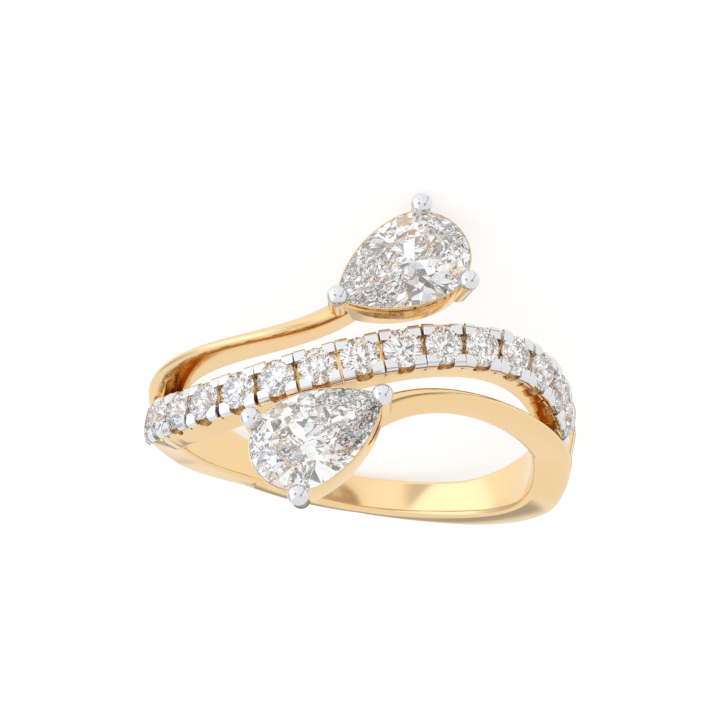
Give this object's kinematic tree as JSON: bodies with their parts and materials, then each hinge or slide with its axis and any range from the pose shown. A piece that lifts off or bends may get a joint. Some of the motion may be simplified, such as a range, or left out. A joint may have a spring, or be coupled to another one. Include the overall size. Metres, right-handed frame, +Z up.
{
  "type": "wrap ring",
  "caption": "Wrap finger ring: a plain band ends in two pear stones that face opposite ways, and a strand of round stones crosses between them.",
  "frame": {"origin": "on the surface the ring lies on, below the middle of its outer box", "axes": "+Z up; the ring lies on its far side, so the finger's axis stands 21 degrees off +Z; the head with the stones points to -Y and 21 degrees up; +X to the right of someone who looks along +Y"},
  "size_m": [0.0208, 0.0226, 0.0157],
  "materials": {
    "yellow_gold": "polished",
    "white_gold": "polished",
    "stone": "faceted and polished"
  },
  "bodies": {
    "root": {"gold_body": "yellow_gold", "strand_claws": "white_gold", "near_ball_1": "white_gold", "near_ball_2": "white_gold", "near_ball_3": "white_gold", "far_ball_1": "white_gold", "far_ball_2": "white_gold", "far_ball_3": "white_gold", "near_pear": "stone", "far_pear": "stone", "round_stone_1": "stone", "round_stone_2": "stone", "round_stone_3": "stone", "round_stone_4": "stone", "round_stone_5": "stone", "round_stone_6": "stone", "round_stone_7": "stone", "round_stone_8": "stone", "round_stone_9": "stone", "round_stone_10": "stone", "round_stone_11": "stone", "round_stone_12": "stone", "round_stone_13": "stone", "round_stone_14": "stone", "round_stone_15": "stone"}
  },
  "joints": []
}
